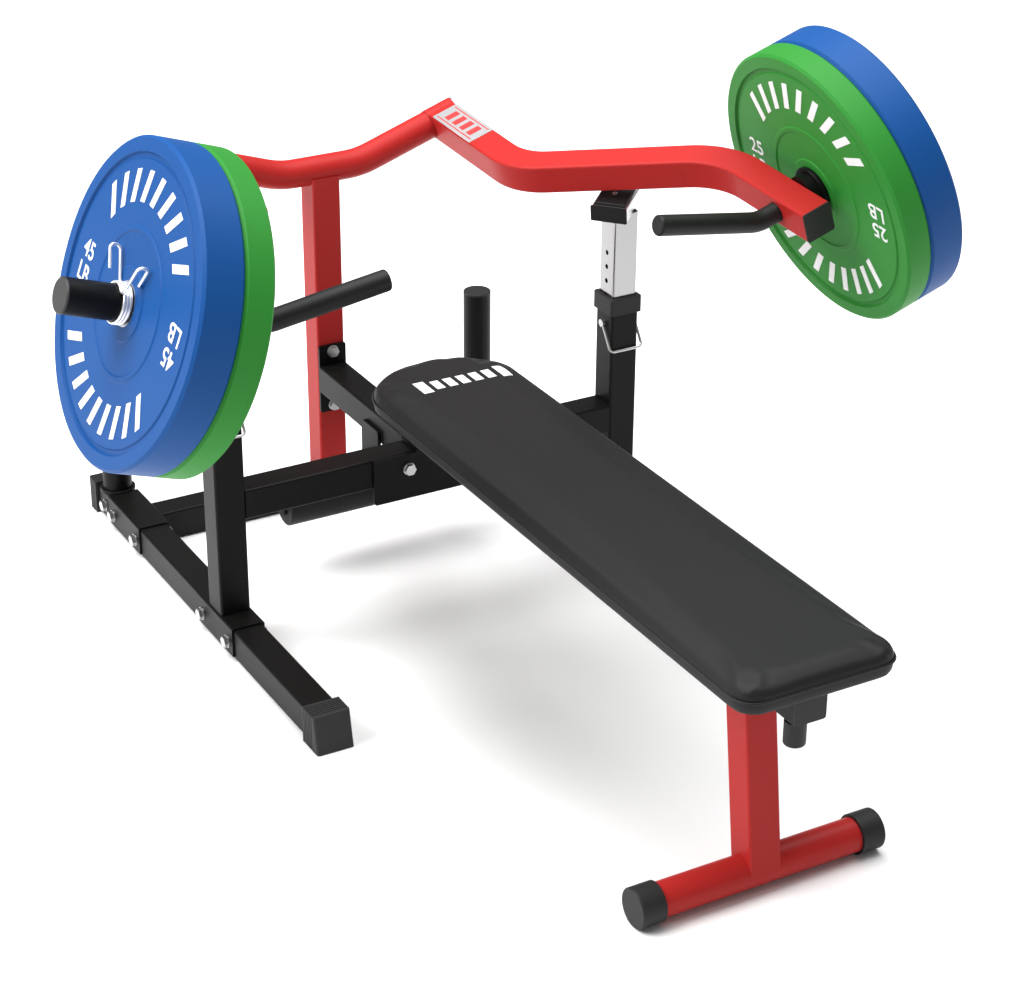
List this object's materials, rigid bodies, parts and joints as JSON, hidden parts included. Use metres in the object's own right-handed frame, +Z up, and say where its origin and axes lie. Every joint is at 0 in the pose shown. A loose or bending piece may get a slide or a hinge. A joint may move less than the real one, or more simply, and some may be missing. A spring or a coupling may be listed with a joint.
{
  "type": "olympic bench press",
  "caption": "Plate-loaded flat bench press with two red converging press arms, green and blue plates, spring clips, chrome height stops and a padded bench.",
  "frame": {"origin": "centre of the footprint, on the floor", "axes": "+X to the right press arm, +Y towards the head end, +Z up"},
  "size_m": [1.4068, 1.626, 0.9486],
  "materials": {
    "black_steel": "satin black powder coat",
    "red_steel": "gloss red powder coat",
    "zinc_steel": "bright zinc",
    "chrome": "polished",
    "cap_plastic": "moulded",
    "sleeve_end": "satin",
    "bush_plastic": "plain",
    "pad_vinyl": "grained vinyl",
    "black_rubber": "matte",
    "green_rubber": "matte",
    "blue_rubber": "matte",
    "label_silver": "satin"
  },
  "bodies": {
    "frame": {"rails": "black_steel", "rail_caps": "cap_plastic", "rear_crossbeam": "black_steel", "storage_pegs": "black_steel", "storage_peg_caps": "cap_plastic", "uprights": "black_steel", "upright_collars": "cap_plastic", "middle_crossbeam": "black_steel", "backbone_tube": "black_steel", "bench_saddle_plate": "black_steel", "column_and_cross_tube": "red_steel", "pivot_shafts": "zinc_steel", "pivot_end_caps": "zinc_steel", "bench_spine": "black_steel", "bench_spine_plug": "cap_plastic", "front_leg_and_foot_tube": "red_steel", "foot_caps": "cap_plastic", "pad_mount_plates": "black_steel", "bench_pad_base": "pad_vinyl", "bench_pad_cushion": "pad_vinyl", "pad_bolts": "zinc_steel", "frame_bolts": "zinc_steel", "frame_nuts_and_washers": "zinc_steel", "roller_hanger": "black_steel"},
    "knob": {"adjuster_knob": "cap_plastic"},
    "left_roller_body": {"left_roller": "black_rubber"},
    "right_roller_body": {"right_roller": "black_rubber"},
    "left_arm_body": {"left_arm": "red_steel", "left_pivot_bushings": "bush_plastic", "left_arm_cap": "cap_plastic", "left_arm_label": "label_silver", "left_loading_sleeve": "black_steel", "left_sleeve_cap": "sleeve_end", "left_handle": "black_rubber"},
    "left_green_plate_body": {"left_green_plate": "green_rubber", "left_green_plate_bore": "zinc_steel"},
    "left_blue_plate_body": {"left_blue_plate": "blue_rubber", "left_blue_plate_bore": "zinc_steel"},
    "left_clip_body": {"left_spring_clip": "chrome"},
    "left_stop_body": {"left_stop_tube": "chrome", "left_stop_bracket": "zinc_steel", "left_stop_rubber": "black_rubber"},
    "left_pin_body": {"left_stop_pin": "zinc_steel"},
    "right_arm_body": {"right_arm": "red_steel", "right_pivot_bushings": "bush_plastic", "right_arm_cap": "cap_plastic", "right_arm_label": "label_silver", "right_loading_sleeve": "black_steel", "right_sleeve_cap": "sleeve_end", "right_handle": "black_rubber"},
    "right_green_plate_body": {"right_green_plate": "green_rubber", "right_green_plate_bore": "zinc_steel"},
    "right_blue_plate_body": {"right_blue_plate": "blue_rubber", "right_blue_plate_bore": "zinc_steel"},
    "right_clip_body": {"right_spring_clip": "chrome"},
    "right_stop_body": {"right_stop_tube": "chrome", "right_stop_bracket": "zinc_steel", "right_stop_rubber": "black_rubber"},
    "right_pin_body": {"right_stop_pin": "zinc_steel"}
  },
  "joints": [
    {"name": "knob_turn", "type": "hinge", "parent": "frame", "child": "knob", "pos_m": [0, -0.752, 0.28], "axis": [0, 0, 1], "continuous": true},
    {"name": "left_roller_spin", "type": "hinge", "parent": "frame", "child": "left_roller_body", "pos_m": [-0.11, 0.418, 0.126], "axis": [1, 0, 0], "continuous": true},
    {"name": "left_arm_swing", "type": "hinge", "parent": "frame", "child": "left_arm_body", "pos_m": [-0.22857, 0.64909, 0.6605], "axis": [-0.9478, 0, 0.319], "range_deg": [0, 40]},
    {"name": "left_green_plate_spin", "type": "hinge", "parent": "left_arm_body", "child": "left_green_plate_body", "pos_m": [-0.52995, -0.03699, 0.71054], "axis": [-0.9478, 0, 0.319], "continuous": true},
    {"name": "left_blue_plate_spin", "type": "hinge", "parent": "left_arm_body", "child": "left_blue_plate_body", "pos_m": [-0.57942, -0.03699, 0.72719], "axis": [-0.9478, 0, 0.319], "continuous": true},
    {"name": "left_clip_slide", "type": "slide", "parent": "left_arm_body", "child": "left_clip_body", "axis": [-0.9478, 0, 0.319], "range_m": [0, 0.11]},
    {"name": "left_stop_height", "type": "slide", "parent": "frame", "child": "left_stop_body", "axis": [0, 0, 1], "range_m": [-0.122, 0]},
    {"name": "left_bail_swing", "type": "hinge", "parent": "frame", "child": "left_pin_body", "pos_m": [-0.354, 0.272, 0.406], "axis": [1, 0, 0], "range_deg": [-75, 0]},
    {"name": "right_roller_spin", "type": "hinge", "parent": "frame", "child": "right_roller_body", "pos_m": [0.11, 0.418, 0.126], "axis": [1, 0, 0], "continuous": true},
    {"name": "right_arm_swing", "type": "hinge", "parent": "frame", "child": "right_arm_body", "pos_m": [0.22857, 0.64909, 0.6605], "axis": [-0.9478, 0, -0.319], "range_deg": [0, 40]},
    {"name": "right_green_plate_spin", "type": "hinge", "parent": "right_arm_body", "child": "right_green_plate_body", "pos_m": [0.52995, -0.03699, 0.71054], "axis": [0.9478, 0, 0.319], "continuous": true},
    {"name": "right_blue_plate_spin", "type": "hinge", "parent": "right_arm_body", "child": "right_blue_plate_body", "pos_m": [0.57942, -0.03699, 0.72719], "axis": [0.9478, 0, 0.319], "continuous": true},
    {"name": "right_clip_slide", "type": "slide", "parent": "right_arm_body", "child": "right_clip_body", "axis": [0.9478, 0, 0.319], "range_m": [0, 0.11]},
    {"name": "right_stop_height", "type": "slide", "parent": "frame", "child": "right_stop_body", "axis": [0, 0, 1], "range_m": [-0.122, 0]},
    {"name": "right_bail_swing", "type": "hinge", "parent": "frame", "child": "right_pin_body", "pos_m": [0.354, 0.272, 0.406], "axis": [1, 0, 0], "range_deg": [-75, 0]}
  ]
}
